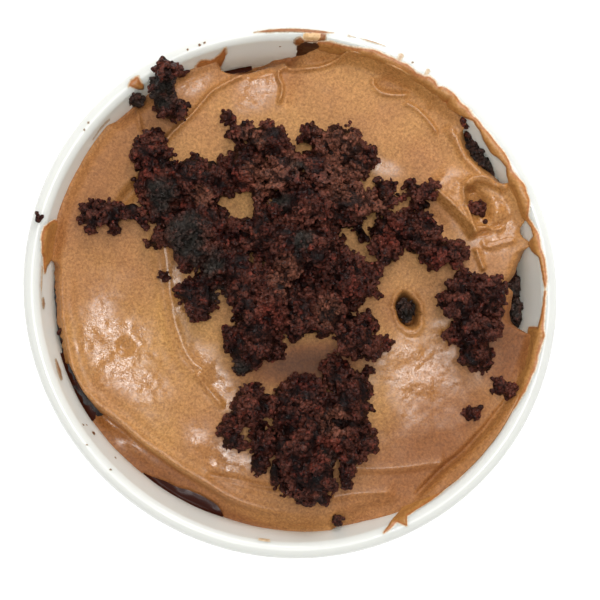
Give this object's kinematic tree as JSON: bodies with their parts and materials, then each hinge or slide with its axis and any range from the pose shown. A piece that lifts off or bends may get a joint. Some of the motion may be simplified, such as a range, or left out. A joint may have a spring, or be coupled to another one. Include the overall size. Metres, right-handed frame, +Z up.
{
  "type": "chocolate cake cup",
  "caption": "Single-serving dessert cup: a white paper cup with a rolled rim, filled with dark chocolate cake under milk chocolate frosting, topped with broken lumps of cake.",
  "frame": {"origin": "centre of the cup's foot, on the table", "axes": "+Z up along the cup's axis; +Y points to the side where a lump of cake leans over the rim, the bare pocket of wall lies at +Y, and the slots beside the frosting lie at +X"},
  "size_m": [0.09, 0.09, 0.0666],
  "materials": {
    "cup": "white coated paperboard, smooth with a soft gloss",
    "cake": "dark chocolate cake, open crumb, matt with moist glints",
    "frosting": "milk chocolate frosting, spread smooth, satin",
    "crumb": "broken dark chocolate cake, open crumb, matt"
  },
  "bodies": {
    "root": {"cup": "cup", "cake": "cake", "frosting": "frosting", "crumb_centre": "crumb", "crumb_top_left": "crumb", "crumb_top_right": "crumb", "crumb_upper_left": "crumb", "crumb_arm": "crumb", "crumb_lower": "crumb", "crumb_right": "crumb", "crumb_left": "crumb", "crumb_star": "crumb", "crumb_leaning": "crumb", "crumb_sunk": "crumb"}
  },
  "joints": []
}
